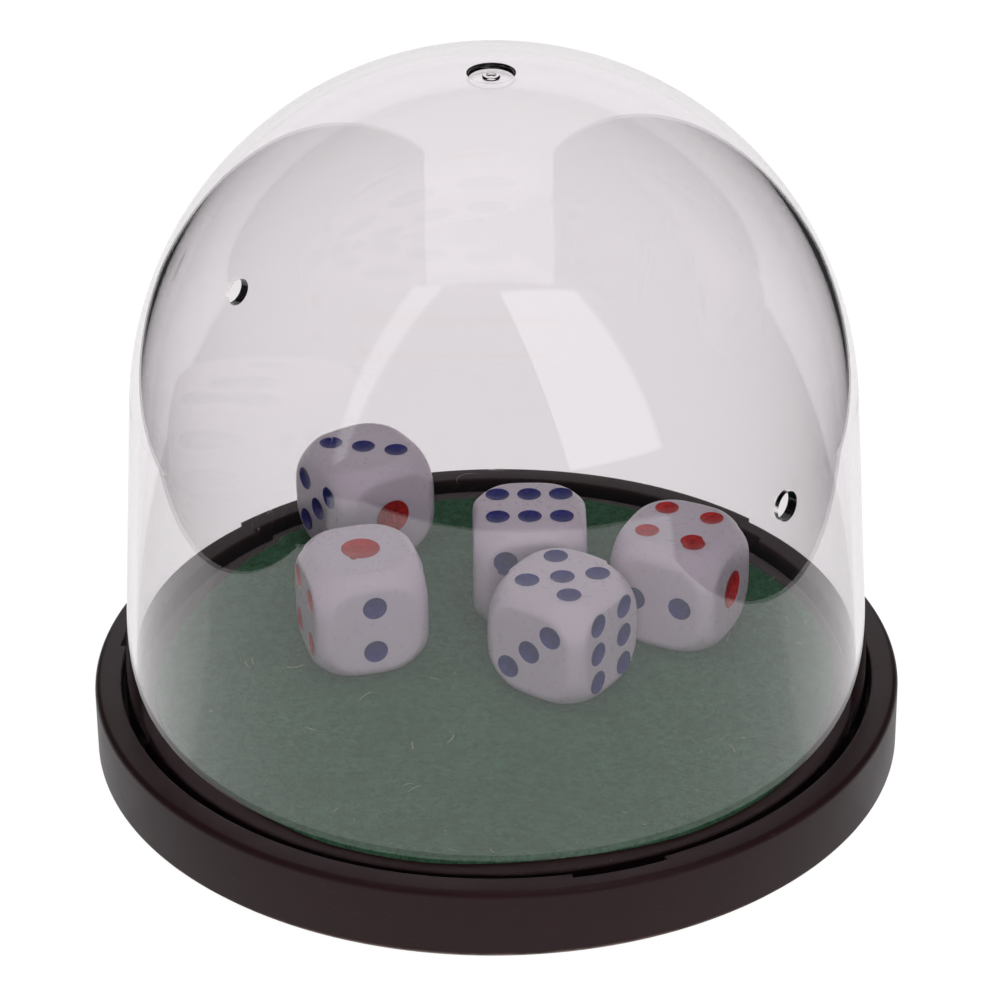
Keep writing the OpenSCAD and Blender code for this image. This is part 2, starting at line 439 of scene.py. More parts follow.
def true_normals(mesh, rule):
    """Gives the corners of smooth faces the exact normal of their shape, where the rule knows it."""
    smooth(mesh)
    corners = np.array([c.vector for c in mesh.corner_normals])
    vertices = np.zeros(len(mesh.loops), int)
    mesh.loops.foreach_get("vertex_index", vertices)
    points = np.array([v.co for v in mesh.vertices])[vertices]
    faces = np.zeros((len(mesh.loops), 3))
    for face in mesh.polygons:
        faces[face.loop_indices] = face.normal
    exact = rule(points)
    along = np.einsum("ij,ij->i", exact, faces)
    near = np.abs(along) > 0.985
    corners[near] = exact[near] * np.sign(along[near])[:, None]
    mesh.normals_split_custom_set([tuple(n) for n in corners])


def dome_outline(look):
    """Radius and height of the ball that the dome's slope runs into."""
    seat = TRAY_LOOK().groove_floor
    crown = seat + look.height
    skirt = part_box("base_tray")[1].z
    run = math.tan(look.draft) * (crown - skirt)
    ball = math.cos(look.draft) * (look.skirt_radius - run) / (1 - math.sin(look.draft))
    return ball, crown - ball, skirt


def TRAY_LOOK():
    return bpy.context.scene.tray_look


def clear_plastic(look):
    """Clear polystyrene with faint moulding waves, hairline scratches and a few specks. Lamps shine through."""
    f = Finish("clear plastic")
    specks = f.noise(0.9 * MM, 2.0).above(0.80)
    hair = f.noise(9 * MM, 1.0, place=f.stretched(1, 9, 2))
    hair = 1 - (hair - 0.5).size().between(0.0, 0.0035)
    patch = f.noise(16 * MM, 1.0).between(0.52, 0.66)
    marks = (specks * 0.5 + hair * patch).clamped()
    normal = f.bump(f.noise(14 * MM, 0.0), 0.02 * MM, 0.25)
    shader = f.surface(
        {
            "Base Color": (*look.tint, 1),
            "Roughness": marks * 0.16,
            "IOR": look.index,
            "Transmission Weight": 1.0,
            "Normal": normal,
        }
    )
    through = f.add("ShaderNodeBsdfTransparent", {}, {"Color": (0.97, 0.96, 0.965, 1)})
    lamp = f.add("ShaderNodeLightPath", output="Is Shadow Ray")
    haze = f.add("ShaderNodeVolumeAbsorption", {}, {"Color": (0.30, 0.22, 0.28, 1), "Density": look.depth})
    return f.done(f.add("ShaderNodeMixShader", {}, {0: lamp, 1: shader, 2: through}), haze)


def plum_plastic(look):
    """Dark plum moulded plastic: fine grain, turning marks round the side, a rubbed lower edge lightened partly by
    painted floor light, and painted shade in the groove under the rim.
    """
    f = Finish("plum plastic")
    plastic = tuple(look.plastic)
    cloud = f.noise(7 * MM, 4.0)
    rings = f.noise(5 * MM, 4.0, place=f.stretched(1, 1, 14))
    base = f.mix(cloud, tuple(c * 0.8 for c in plastic), tuple(c * 1.25 for c in plastic))
    scuffs = f.noise(1.6 * MM, 5.0, 0.7, f.stretched(1, 1, 5)).between(0.60, 0.74)
    height = f.add("ShaderNodeSeparateXYZ", {}, {0: f.place}, "Z")
    # Partly painted light: the lowest edge is lightened to warm brown as if lit by the white floor, mixed with real
    # rubbing wear.
    foot = 1 - height.between(0.35 * MM, 0.75 * MM)
    wear_and_floor_light = (foot * f.noise(2.5 * MM, 3.0).between(0.30, 0.58)).clamped()
    base = f.mix(scuffs * 0.30, base, (0.075, 0.055, 0.060))
    base = f.mix(wear_and_floor_light * 0.75, base, (0.24, 0.16, 0.13))
    parts = f.add("ShaderNodeVectorMath", {"operation": "MULTIPLY"}, {0: f.place, 1: (1, 1, 0)})
    across = f.add("ShaderNodeVectorMath", {"operation": "LENGTH"}, {0: parts}, "Value")
    low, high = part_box("base_tray")
    # Painted shade: the groove and lug channel below the rim top are darkened nearly to black, standing in for the
    # shade the rim casts there.
    shade_inside_channel = 1 - across.between(look.channel_radius, look.channel_radius + 0.1 * MM)
    groove = shade_inside_channel * across.above(look.groove_radius - 0.05 * MM)
    below = 1 - height.between(high.z - 0.9 * MM, high.z - 0.3 * MM)
    base = f.mix(groove * below * 0.8, base, (0.0015, 0.0012, 0.0014))
    grain = f.noise(0.35 * MM, 2.0)
    normal = f.bump(grain, 0.012 * MM, 0.5)
    normal = f.bump(rings, 0.03 * MM, 0.35, normal)
    rough = 0.36 + cloud * 0.10 + scuffs * 0.14 + grain * 0.05
    sockets = {"Base Color": base, "Roughness": rough, "Normal": normal, "Specular IOR Level": 0.23}
    return f.done(f.surface(sockets))


def green_felt(look, tone=1.0):
    """Pressed felt: tangled fibres, a short nap that catches light and uneven dye."""
    f = Finish("green felt")
    green = tuple(c * tone for c in look.green)
    dye = f.noise(8 * MM, 3.0)
    tangle = f.noise(0.9 * MM, 6.0, 0.75)
    fibres = f.noise(0.45 * MM, 4.0, 0.7, f.stretched(1, 3.2, 1))
    threads = f.noise(0.45 * MM, 4.0, 0.7, f.stretched(3.2, 1, 1))
    nap = (tangle + fibres + threads) * (1 / 3)
    tone_mix = nap.between(0.40, 0.61)
    deep = tuple(c * 0.35 for c in green)
    pale = tuple(c * 1.75 + 0.012 for c in green)
    base = f.mix(tone_mix, deep, pale)
    base = f.mix(dye.between(0.40, 0.62) * 0.35, base, tuple(c * 0.65 for c in green))
    clumps = f.noise(1.0 * MM, 4.0, 0.75).between(0.50, 0.64)
    base = f.mix(clumps * 0.40, base, tuple(c * 1.7 + 0.012 for c in green))
    normal = f.bump(nap, 0.16 * MM, 0.9)
    sockets = {"Base Color": base, "Roughness": 0.95, "Normal": normal, "Specular IOR Level": 0.05}
    return f.done(f.surface(sockets))


def lint_fibre():
    """Loose fibres on the felt, from its own green to a few pale ones."""
    f = Finish("felt lint")
    pick = f.noise(3.5 * MM, 0.0)
    base = f.mix(pick.between(0.62, 0.66), (0.05, 0.17, 0.085), (0.36, 0.37, 0.22))
    return f.done(f.surface({"Base Color": base, "Roughness": 0.9, "Specular IOR Level": 0.2}))


def ivory_plastic(look):
    """Milky dice plastic: light sinks in a little, with polish swirls and faint clouds."""
    f = Finish("ivory plastic")
    ivory = tuple(look.ivory)
    cloud = f.noise(6 * MM, 3.0)
    base = f.mix(cloud, tuple(c * 0.96 for c in ivory), tuple(min(1, c * 1.03) for c in ivory))
    fine = f.noise(0.7 * MM, 3.0)
    rough = 0.22 + fine * 0.14
    normal = f.bump(f.noise(2.2 * MM, 2.0), 0.015 * MM, 0.4)
    sockets = {"Base Color": base, "Roughness": rough, "Normal": normal, "IOR": 1.49}
    sockets.update({"Subsurface Weight": 0.35, "Subsurface Radius": (1.0, 0.85, 0.8), "Subsurface Scale": 1.6 * MM})
    return f.done(f.surface(sockets))


def pip_paint(name, tone):
    """Brushed-in enamel, thin and streaky in places."""
    f = Finish(name)
    streak = f.noise(0.8 * MM, 4.0, 0.65, f.stretched(1, 2.2, 1.4))
    thin = f.noise(0.5 * MM, 3.0).between(0.62, 0.8)
    deep = tuple(c * 0.6 for c in tone)
    light = tuple(min(1, c * 1.5 + 0.01) for c in tone)
    base = f.mix(streak.between(0.35, 0.7), deep, light)
    base = f.mix(thin * 0.10, base, (0.45, 0.4, 0.45))
    normal = f.bump(streak, 0.03 * MM, 0.5)
    rough = 0.30 + thin * 0.2
    sockets = {"Base Color": base, "Roughness": rough, "Normal": normal, "Specular IOR Level": 0.15}
    return f.done(f.surface(sockets))


def glow(name, strength, ambient):
    """A studio panel that only gloss and glass show. What is seen straight through glass stays white."""
    f = Finish(name)
    straight, lights = ray_story(f)
    level = straight + (1 - straight) * (lights * ambient + (1 - lights) * strength)
    return f.done(f.add("ShaderNodeEmission", {}, {"Color": (1, 0.99, 1, 1), "Strength": level}))


def ray_story(build):
    """1 for rays that came straight through one wall of the dome or both, and 1 for rays that light a surface."""
    path = build.add("ShaderNodeLightPath", output="Is Transmission Ray")
    lights = build.other(path, "Diffuse Depth").above(0.5)
    crossed = build.other(path, "Transmission Depth")
    one_wall = crossed.above(1.5) * (1 - build.other(path, "Glossy Depth").above(0.5))
    straight = path * path.math("MAXIMUM", crossed.above(3.5), one_wall) * (1 - lights)
    return straight, lights


def white_floor(look):
    """Pale floor: white to the camera and through the dome, with part of its real light to keep the shadow."""
    f = Finish("white floor")
    path = f.add("ShaderNodeLightPath", output="Is Camera Ray")
    straight, lights = ray_story(f)
    shown = path.math("MAXIMUM", path, straight)
    gloss = f.other(path, "Is Glossy Ray") + f.other(path, "Is Transmission Ray") * (1 - straight)
    level = shown * 1.16 + (1 - shown) * look.dark
    share = (shown * 0.8 + gloss * (1 - lights)).clamped()
    own = f.add("ShaderNodeBsdfDiffuse", {}, {"Color": (0.92, 0.92, 0.92, 1)})
    light = f.add("ShaderNodeEmission", {}, {"Color": (1, 1, 1, 1), "Strength": level})
    return f.done(f.add("ShaderNodeMixShader", {}, {0: share, 1: own, 2: light}))


def ride(ob, body, slot, *nodes):
    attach(ob, body)
    if nodes:
        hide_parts(*nodes)


class BuildStudio(bpy.types.Operator):
    """Sets the camera, the white floor, the lamps and the panels that the gloss shows"""

    bl_idname = "dice_cup.build_studio"
    bl_label = "Studio"

    def execute(self, context):
        look = context.scene.studio_look
        scene = context.scene
        scene.view_settings.view_transform = "Standard"
        self.camera(scene)
        floor = new_object("floor", [(-3, -3, 0), (3, -3, 0), (3, 3, 0), (-3, 3, 0)], [(0, 1, 2, 3)])
        floor.data.materials.append(white_floor(look))
        self.panels(look)
        self.lamps(look)
        self.world(scene, look)
        return {"FINISHED"}

    def camera(self, scene):
        """The photograph's view: 30 degrees down, from 0.49 m, with the horizon half a degree off."""
        place = Vector((0.6, -424.8, 275.4)) * MM
        aim = Vector((0.6, 0, 31.2)) * MM
        ahead = (aim - place).normalized()
        right = ahead.cross(Vector((0, 0, 1))).normalized()
        right = Matrix.Rotation(math.radians(0.46), 3, ahead) @ right
        up = right.cross(ahead)
        data = bpy.data.cameras.new("photo view")
        data.sensor_width = 36
        data.lens = 149.8
        data.clip_start = 0.01
        camera = bpy.data.objects.new("photo view", data)
        axes = Matrix((right, up, -ahead)).transposed().to_4x4()
        camera.matrix_world = Matrix.Translation(place) @ axes
        scene.collection.objects.link(camera)
        scene.camera = camera

    def panels(self, look):
        """A small paper booth: floor strip, back, ceiling strip and two front flaps, in millimetres."""
        left, right = -111, 101
        shapes = {
            "strip": (1.0, [(left, -20, 0.1), (right, -20, 0.1), (right, 180, 0.1), (left, 180, 0.1)]),
            "strip_front": (0.86, [(left, -92, 0.1), (right, -92, 0.1), (right, -20, 0.1), (left, -20, 0.1)]),
            "apron": (
                0.87,
                [
                    (left, -92, 0.1), (-149, -143, 0.1), (-348, -309, 0.1), (-347, -455, 0.1),
                    (-105, -357, 0.1), (-31, -334, 0.1), (71, -295, 0.1), (132, -242, 0.1),
                    (171, -204, 0.1), (182, -159, 0.1), (right, -92, 0.1),
                ],
            ),
            "back": (0.95, [(left, 180, 0), (right, 180, 0), (right, 180, 345), (left, 180, 345)]),
            "slope": (0.9, [(-61, 83, 262), (55, 79, 262), (right, 180, 345), (left, 180, 345)]),
            "ceiling_back": (0.85, [(-63, 7, 261), (56, 7, 261), (55, 79, 262), (-61, 83, 262)]),
            "ceiling_front": (0.66, [(-76, -108, 260), (70, -107, 260), (56, 7, 261), (-63, 7, 261)]),
            "flap_right": (1.1, [(34, -100, 65), (103, -100, 68), (88, -100, 239), (6, -100, 216)]),
            "flap_left": (0.85, [(-93, -100, 60), (-83, -100, 66), (-51, -100, 237), (-90, -100, 254)]),
        }
        for name, (strength, corners) in shapes.items():
            ob = new_object(name, [Vector(c) * MM for c in corners], [range(len(corners))])
            ob.data.materials.append(glow(name, strength, look.ambient))
            ob.visible_camera = False
            ob.visible_diffuse = False
            ob.visible_shadow = False

    def lamps(self, look):
        """Soft lamps that gloss doesn't show, because the booth's panels stand for them there."""
        for name, power, place in (
            ("key", look.key, (0.05, -0.65, 0.30)),
            ("side", look.side, (0.30, -0.35, 0.55)),
            ("top", look.top, (-0.05, 0, 0.65)),
        ):
            data = bpy.data.lights.new(name, "AREA")
            data.energy = power
            data.size = 0.3
            lamp = bpy.data.objects.new(name, data)
            lamp.location = place
            lamp.rotation_euler = (Vector((0, 0, 0.02)) - Vector(place)).to_track_quat("-Z", "Y").to_euler()
            lamp.visible_camera = False
            lamp.visible_glossy = False
            lamp.visible_transmission = False
            bpy.context.scene.collection.objects.link(lamp)

    def world(self, scene, look):
        """White behind the object, dark to gloss, and an even light on everything."""
        world = bpy.data.worlds.new("booth")
        world.use_nodes = True
        scene.world = world
        w = Build(world.node_tree)
        world.node_tree.nodes.clear()
        path = w.add("ShaderNodeLightPath", output="Is Camera Ray")
        straight, lights = ray_story(w)
        shown = path.math("MAXIMUM", path, straight)
        gloss = w.other(path, "Is Glossy Ray") + w.other(path, "Is Transmission Ray")
        gloss = gloss.clamped() * (1 - lights)
        level = shown + (1 - shown) * (gloss * look.dark + (1 - gloss) * look.ambient)
        light = w.add("ShaderNodeBackground", {}, {"Color": (1, 1, 1, 1), "Strength": level})
        w.add("ShaderNodeOutputWorld", {}, {"Surface": light})


class BuildTray(bpy.types.Operator):
    """Turns the tray with its groove, lug channel and three notches"""

    bl_idname = "dice_cup.build_tray"
    bl_label = "Tray"

    def execute(self, context):
        look = context.scene.tray_look
        low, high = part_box("base_tray")
        out, top = high.x, high.z
        dais, lip, floor = look.groove_radius, look.lip_radius, look.groove_floor
        roof = floor + 2.4 * MM
        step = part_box("felt_disc")[0].z
        soft, edge, foot = 0.3 * MM, 0.8 * MM, 0.5 * MM
        rows = [(0, step), (dais * 0.5, step)]
        rows += round_off((dais - soft, step - soft), soft, 90, 0)
        rows += [(dais, floor), (look.channel_radius, floor), (look.channel_radius, roof)]
        rows += [(lip, roof, 1)]
        rows += [(r, z, 1) for r, z in round_off((lip + soft, top - soft), soft, 180, 90)]
        rows += round_off((out - edge, top - edge), edge, 90, 0, 8)
        rows += [(out, foot), (out - foot, low.z)]
        rows += [(look.hollow_radius + soft, low.z), (look.hollow_radius, soft)]
        rows += [(look.hollow_radius, step - 2.2 * MM), (0, step - 2.2 * MM)]
        tree = lathe_tree(
            bays=3, columns=120, bay_columns=15, sweep=math.radians(14), first=LUG_TURN, depth=0.7 * MM,
        )
        tray = turned("tray", rows, tree, plum_plastic(look))
        smooth(tray.data)
        ride(tray, "tray", "plum_plastic", "base_tray")
        return {"FINISHED"}


class BuildFelt(bpy.types.Operator):
    """Lays the felt disc on the tray, with its nap and loose fibres"""

    bl_idname = "dice_cup.build_felt"
    bl_label = "Felt"

    def execute(self, context):
        look = context.scene.felt_look
        low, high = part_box("felt_disc")
        soft = 0.25 * MM
        rows = [(r, high.z) for r in np.linspace(0, look.radius - soft, 84)[:-1]]
        rows += round_off((look.radius - soft, high.z - soft), soft, 90, 0)
        rows += [(look.radius - 0.02 * MM, low.z), (0, low.z)]
        tree = lathe_tree(bays=1, columns=300, bay_columns=15, sweep=0.7, first=0.0, depth=0.0)
        cloth = green_felt(look)
        felt = turned("felt", rows, tree, cloth)
        self.cut_tree(radius=look.radius, lobe=0.45 * MM, slip=0.34 * MM, middle=0.6 * MM).apply(felt, cloth)
        self.nap_tree(height=0.07 * MM, floor=low.z + 0.2 * MM).apply(felt, cloth)
        smooth(felt.data, 60)
        lint = new_object("felt_lint", [v.co for v in felt.data.vertices], [p.vertices for p in felt.data.polygons])
        self.lint_tree(count=look.lint, shortest=0.5 * MM, longest=2.6 * MM, top=high.z).apply(lint, lint_fibre())
        smooth(lint.data, 60)
        ride(felt, "tray", "green_felt", "felt_disc")
        ride(lint, "tray", "green_felt")
        return {"FINISHED"}

    def cut_tree(self, **sizes):
        """Draws the edge in unevenly, as scissors left it, and less and less towards the middle."""
        tree = Tree("Cut edge", **sizes)
        v = tree.inputs
        place = tree.add("GeometryNodeInputPosition")
        x = tree.add("ShaderNodeSeparateXYZ", {}, {0: place}, "X")
        y = tree.other(x, "Y")
        turn = y.math("ARCTAN2", y, x) - math.radians(100)
        wave = v["middle"] + v["lobe"] * (turn * 6).cos() + v["slip"] * turn.cos()
        inset = wave.math("MAXIMUM", wave, 0.0)
        out = x.math("SQRT", x * x + y * y) / v["radius"]
        share = out.math("POWER", out, 8.0) * inset / (out * v["radius"] + 1e-6)
        flat = tree.add("ShaderNodeCombineXYZ", {}, {"X": x, "Y": y})
        back = tree.add("ShaderNodeVectorMath", {"operation": "SCALE"}, {0: flat, "Scale": share * -1.0})
        tree.finish(tree.add("GeometryNodeSetPosition", {}, {"Geometry": tree.geometry, "Offset": back}))
        return tree

    def nap_tree(self, **sizes):
        """Lifts the upper face here and there, as pressed wool lies, and frays the edge a little."""
        tree = Tree("Nap", **sizes)
        place = tree.add("GeometryNodeInputPosition")
        z = tree.other(tree.add("ShaderNodeSeparateXYZ", {}, {0: place}, "X"), "Z")
        upper = z.above(tree.inputs["floor"])
        noise = tree.add("ShaderNodeTexNoise", {}, {"Vector": place, "Scale": 420.0, "Detail": 3.0}, "Fac")
        lift = (noise - 0.6) * upper * tree.inputs["height"] * 2
        normal = tree.add("GeometryNodeInputNormal")
        offset = tree.add("ShaderNodeVectorMath", {"operation": "SCALE"}, {0: normal, "Scale": lift})
        tree.finish(tree.add("GeometryNodeSetPosition", {}, {"Geometry": tree.geometry, "Offset": offset}))
        return tree

    def lint_tree(self, **sizes):
        """Scatters short bent fibres on the upper face, with a fixed seed."""
        tree = Tree("Lint", **sizes)
        v = tree.inputs
        z = tree.other(
            tree.add("ShaderNodeSeparateXYZ", {}, {0: tree.add("GeometryNodeInputNormal")}, "X"), "Z"
        )
        top_only = {"Mesh": tree.geometry, "Selection": z.above(0.8), "Density": v["count"] / 0.00538, "Seed": 7}
        points = tree.add("GeometryNodeDistributePointsOnFaces", {}, top_only, "Points")
        arc = {"Resolution": 6, "Radius": 1.0, "Start Angle": -0.5, "Sweep Angle": 1.0}
        line = tree.add("GeometryNodeCurveArc", {"mode": "RADIUS"}, arc, "Curve")
        ring = tree.add("GeometryNodeCurvePrimitiveCircle", {}, {"Resolution": 4, "Radius": 0.02}, "Curve")
        fibre = tree.add(
            "GeometryNodeCurveToMesh", {}, {"Curve": line, "Profile Curve": ring, "Fill Caps": True}
        )
        fibre = tree.add("GeometryNodeTransform", {}, {"Geometry": fibre, "Translation": (-1.0, 0, 0.02)})
        turn = tree.add(
            "FunctionNodeRandomValue", {"data_type": "FLOAT"}, {2: 0.0, 3: math.tau, "Seed": 3}, 1
        )
        tilt = tree.add(
            "FunctionNodeRandomValue", {"data_type": "FLOAT"}, {2: -0.12, 3: 0.12, "Seed": 4}, 1
        )
        size = tree.add(
            "FunctionNodeRandomValue", {"data_type": "FLOAT"}, {2: v["shortest"], 3: v["longest"], "Seed": 5}, 1
        )
        spin = tree.add("ShaderNodeCombineXYZ", {}, {"X": tilt, "Y": tilt, "Z": turn})
        sockets = {"Points": points, "Instance": fibre, "Rotation": spin, "Scale": size}
        tree.finish(tree.add("GeometryNodeInstanceOnPoints", {}, sockets))
        return tree


class BuildDome(bpy.types.Operator):
    """Turns the clear dome with its lugs, crown recess and two side holes"""

    bl_idname = "dice_cup.build_dome"
    bl_label = "Dome"

    def execute(self, context):
        look = context.scene.dome_look
        ball, ball_z, bend = dome_outline(look)
        rows = self.outside(look, ball, ball_z, bend)
        rows += self.inside(look, ball - look.wall, ball_z, bend)
        tree = lathe_tree(
            bays=3, columns=122, bay_columns=13, sweep=math.radians(12), first=LUG_TURN, depth=look.lug_out,
        )
        plastic = clear_plastic(look)
        dome = turned("dome_shell", rows, tree, plastic)
        seat = context.scene.tray_look.groove_floor
        drill_tree(
            diameter=look.vent_diameter, height=seat + look.vent_height,
            turn=look.vent_turn, reach=2.4 * look.skirt_radius,
        ).apply(dome, plastic)
        slope = math.tan(look.draft)

        def normals(points):
            """Outward normal of the ball, the slope or the skirt at each point."""
            across = np.hypot(points[:, 0], points[:, 1])
            rise = np.arctan2(points[:, 2] - ball_z, across)
            on_skirt = points[:, 2] < bend + 0.02 * MM
            tilt = np.where(rise > look.draft, rise, look.draft)
            tilt = np.where(on_skirt & (slope > 0), 0, tilt)
            safe = np.maximum(across, 1e-9)
            flat = np.cos(tilt) / safe
            return np.stack([points[:, 0] * flat, points[:, 1] * flat, np.sin(tilt)], 1)

        true_normals(dome.data, normals)
        ride(dome, "dome", "clear_plastic", "dome")
        return {"FINISHED"}

    def outside(self, look, ball, ball_z, bend):
        """From the middle of the crown recess down to the lower edge."""
        crown = ball_z + ball
        floor = crown - look.gate_depth
        ring, ring_top, soft = 1.0 * MM, floor + 0.35 * MM, 0.12 * MM
        rows = [(0, floor), (ring * 0.5, floor)]
        rows += round_off((ring * 0.5 + soft, ring_top - soft), soft, 180, 90, 3)
        rows += round_off((ring - soft, ring_top - soft), soft, 90, 0, 3)
        rows += [(ring, floor)]
        side = look.gate_radius
        rows += round_off((side - 2 * soft, floor + 2 * soft), 2 * soft, 270, 360, 4)
        edge = math.acos((side + soft) / ball)
        rows += round_off((side + soft, ball_z + ball * math.sin(edge) - soft), soft, 180, 100, 3)
        rises = np.linspace(edge - 0.003, look.draft, 66)
        rows += [(ball * math.cos(e), ball_z + ball * math.sin(e)) for e in rises]
        rows += self.slope(rows[-1], (look.skirt_radius, bend))
        seat = TRAY_LOOK().groove_floor
        low, high = seat + 0.3 * MM, seat + 2.1 * MM
        skirt = look.skirt_radius
        rows += [(skirt, high), (skirt, high, 1), (skirt, low, 1), (skirt, low)]
        soft = 0.2 * MM
        rows += round_off((skirt - soft, seat + soft), soft, 0, -90, 4)
        rows += round_off((skirt - look.wall + soft, seat + soft), soft, -90, -180, 4)
        return rows

    def inside(self, look, ball, ball_z, bend):
        """From the lower edge up to the middle of the crown's underside."""
        start = (look.skirt_radius - look.wall, bend - look.wall * math.tan(look.draft / 2))
        end = (ball * math.cos(look.draft), ball_z + ball * math.sin(look.draft))
        rows = [start] + self.slope(start, end)
        rises = np.linspace(look.draft, math.pi / 2, 68)[1:]
        return rows + [(ball * max(math.cos(e), 0), ball_z + ball * math.sin(e)) for e in rises]

    def slope(self, start, end, steps=20):
        """Evenly spaced rows of the straight slope, without its first."""
        return [tuple(row) for row in np.linspace(start, end, steps + 1)[1:]]


def turn_of(x, y, z=0):
    """Turn about X, then Y, then Z, in degrees."""
    turns = ((z, "Z"), (y, "Y"), (x, "X"))
    made = Matrix.Identity(4)
    for degrees, axis in turns:
        made = made @ Matrix.Rotation(math.radians(degrees), 4, axis)
    return made


def pip_places(value):
    """Places of the pips of one value, in millimetres from the middle of the face."""
    reach = 3.0
    square = [(u * reach, v * reach) for u in (-1, 1) for v in (-1, 1)]
    return {
        1: [(0, 0)],
        2: [(-reach, 0), (reach, 0)],
        3: [(k * reach, k * reach) for k in (-1, 0, 1)],
        4: square,
        5: [(0, 0)] + square,
        6: [(u * 2.7, k * 3.9) for u in (-1, 1) for k in (-1, 0, 1)],
    }[value]


class BuildDice(bpy.types.Operator):
    """Makes one die with dished pips and its paint, and lays five of them on the felt"""

    bl_idname = "dice_cup.build_dice"
    bl_label = "Dice"

    def execute(self, context):
        look = context.scene.dice_look
        body = self.body(look, ivory_plastic(look))
        paints = {
            "blue": self.paint(look, BLUE_VALUES, pip_paint("blue paint", look.blue)),
            "red": self.paint(look, RED_VALUES, pip_paint("red paint", look.red)),
        }
        for die in DICE:
            node = "die_" + die
            low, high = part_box(node)
            value, turn = TOP_AND_TURN[die]
            centre = (low + high) / 2
            at = Matrix.Translation(centre) @ turn_of(0, 0, turn) @ turn_of(*TO_TOP[value])
            self.lay(body, node + "_body", at, node, "ivory_plastic", node)
            for tone, paint in paints.items():
                pips = node + "_" + tone + "_pips"
                self.lay(paint, pips + "_paint", at, node, tone + "_paint", pips)
        for master in (body, *paints.values()):
            bpy.data.objects.remove(master)
        return {"FINISHED"}

    def lay(self, master, name, at, body, slot, node):
        mesh = master.data.copy()
        mesh.name = name
        mesh.transform(at)
        ob = bpy.data.objects.new(name, mesh)
        bpy.context.scene.collection.objects.link(ob)
        ride(ob, body, slot, node)

    def reach(self, look, ways):
        """Distance from the die's centre to its surface, along each unit direction."""
        half, edge = look.width / 2, look.edge
        flat = half - edge
        least = np.full(len(ways), 1.0)
        for a, b in ((0, 1), (1, 2), (2, 0)):
            x, y = np.abs(ways[:, a]), np.abs(ways[:, b])
            wide, thin = np.maximum(x, y), np.minimum(x, y)
            straight = half / np.maximum(wide, 1e-9)
            square = x * x + y * y
            middle = flat * (x + y)
            root = np.sqrt(np.maximum(middle**2 - square * (2 * flat**2 - edge**2), 0))
            bent = (middle + root) / np.maximum(square, 1e-9)
            least = np.minimum(least, np.where(thin * half > wide * flat, bent, straight))
        ball = half * math.sqrt(3) - look.corner
        power = 36
        return ball * ((ball / least) ** power + 1) ** (-1 / power)

    def body(self, look, plastic):
        """A rounded cube with true normals, and a dish for each pip."""
        steps = 46
        row = np.tan(np.linspace(-math.pi / 4, math.pi / 4, steps + 1))
        u, v = (g.ravel() for g in np.meshgrid(row, row, indexing="ij"))
        ways, faces = [], []
        for axis in range(3):
            for side in (-1, 1):
                way = np.zeros((len(u), 3))
                way[:, axis] = side
                way[:, (axis + 1) % 3] = u * side
                way[:, (axis + 2) % 3] = v
                start = sum(map(len, ways))
                ways.append(way)
                for i in range(steps):
                    for j in range(steps):
                        k = start + i * (steps + 1) + j
                        faces.append((k, k + steps + 1, k + steps + 2, k + 1))
        ways = np.concatenate(ways)
        ways /= np.linalg.norm(ways, axis=1)[:, None]
        points = ways * self.reach(look, ways)[:, None]
        _, first, same = np.unique(np.round(points, 7), axis=0, return_index=True, return_inverse=True)
        same = same.ravel()
        faces = [tuple(int(same[k]) for k in face) for face in faces]
        die = new_object("die_master", points[first], faces)
        face_out(die.data)
        cutters = self.places(look, BLUE_VALUES + RED_VALUES)
        self.dish_tree(cutters=cutters).apply(die, plastic)
        bpy.data.objects.remove(cutters)

        def normals(at):
            """Slope of the distance to the surface, which is its normal there."""
            step = 0.01 * MM
            shifts = np.eye(3) * step

            def off(p):
                far = np.linalg.norm(p, axis=1)
                return far - self.reach(look, p / far[:, None])

            slope = np.stack([off(at + s) - off(at - s) for s in shifts], 1)
            return slope / np.linalg.norm(slope, axis=1)[:, None]

        true_normals(die.data, normals)
        return die

    def places(self, look, values):
        """A point at each pip, with the way its face looks and the sizes of its dish."""
        points, ways, sizes, balls = [], [], [], []
        for value in values:
            turn = turn_of(*TO_FACE[value])
            wide, depth = (look.ace, look.ace_depth) if value == 1 else (look.pip, look.pip_depth)
            ball = (wide**2 / 4 + depth**2) / (2 * depth)
            for x, y in pip_places(value):
                points.append(turn @ Vector((x * MM, y * MM, look.width / 2)))
                ways.append((turn @ Vector((0, 0, 1)))[:])
                sizes.append((wide / 2, wide / 2, depth))
                balls.append(ball)
        ob = new_object("pip_places", points)
        for name, rows in (("way", ways), ("size", sizes)):
            data = ob.data.attributes.new(name, "FLOAT_VECTOR", "POINT").data
            data.foreach_set("vector", [x for row in rows for x in row])
        ob.data.attributes.new("ball", "FLOAT", "POINT").data.foreach_set("value", balls)
        return ob

    def named(self, tree, name, kind):
        return tree.add("GeometryNodeInputNamedAttribute", {"data_type": kind}, {"Name": name})

